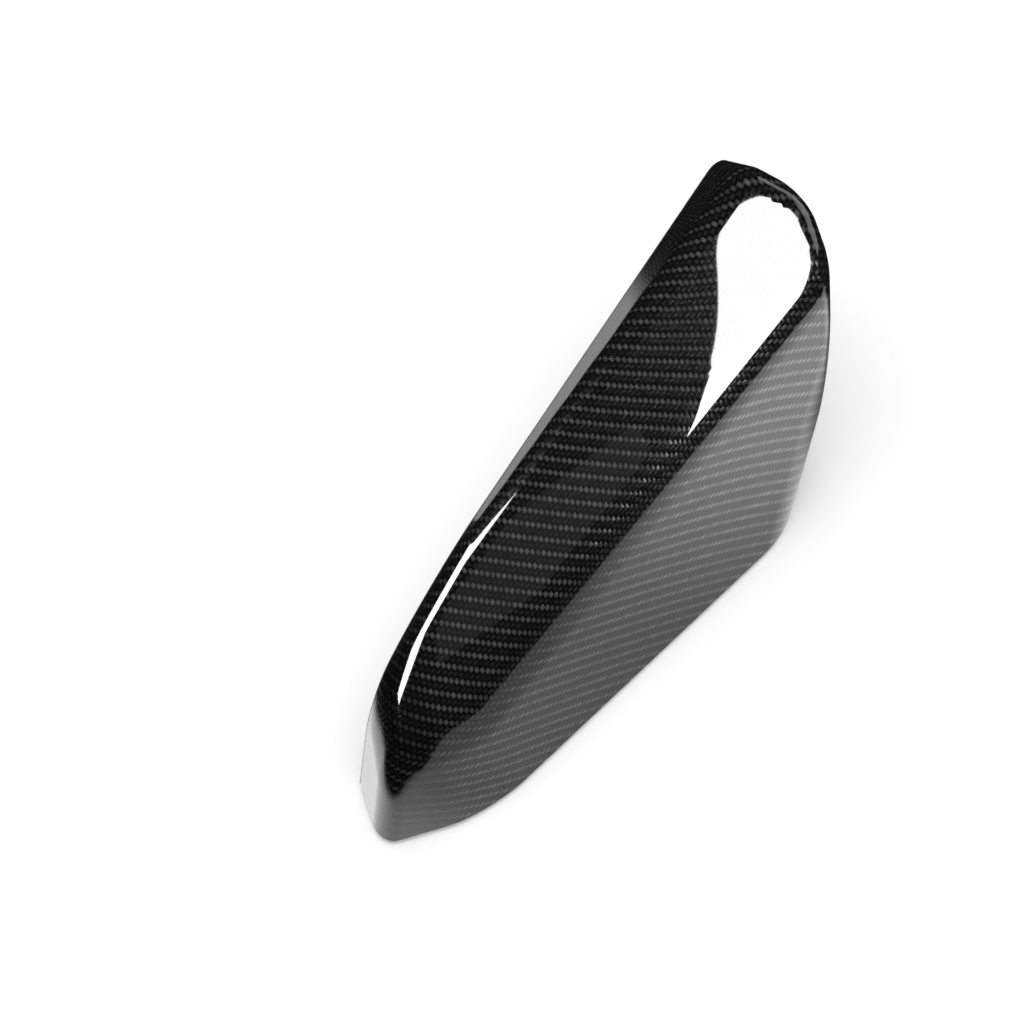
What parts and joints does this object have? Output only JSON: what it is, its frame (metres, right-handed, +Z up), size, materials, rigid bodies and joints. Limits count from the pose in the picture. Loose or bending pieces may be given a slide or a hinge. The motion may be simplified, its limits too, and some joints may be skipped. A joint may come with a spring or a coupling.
{
  "type": "wing mirror cover",
  "caption": "Faceted carbon-fibre wing mirror cover: a thin clear-coated shell with a flat underside, open at the back to fit over a mirror housing.",
  "frame": {"origin": "centre of the bounding box in plan, at the height of the flat underside", "axes": "+X from the narrow end to the tall end, +Y out of the open back, +Z up; the front faces -Y"},
  "size_m": [0.2552, 0.0726, 0.1528],
  "materials": {
    "carbon": "black twill weave under gloss clear coat"
  },
  "bodies": {
    "root": {"mirror_cover": "carbon"}
  },
  "joints": []
}
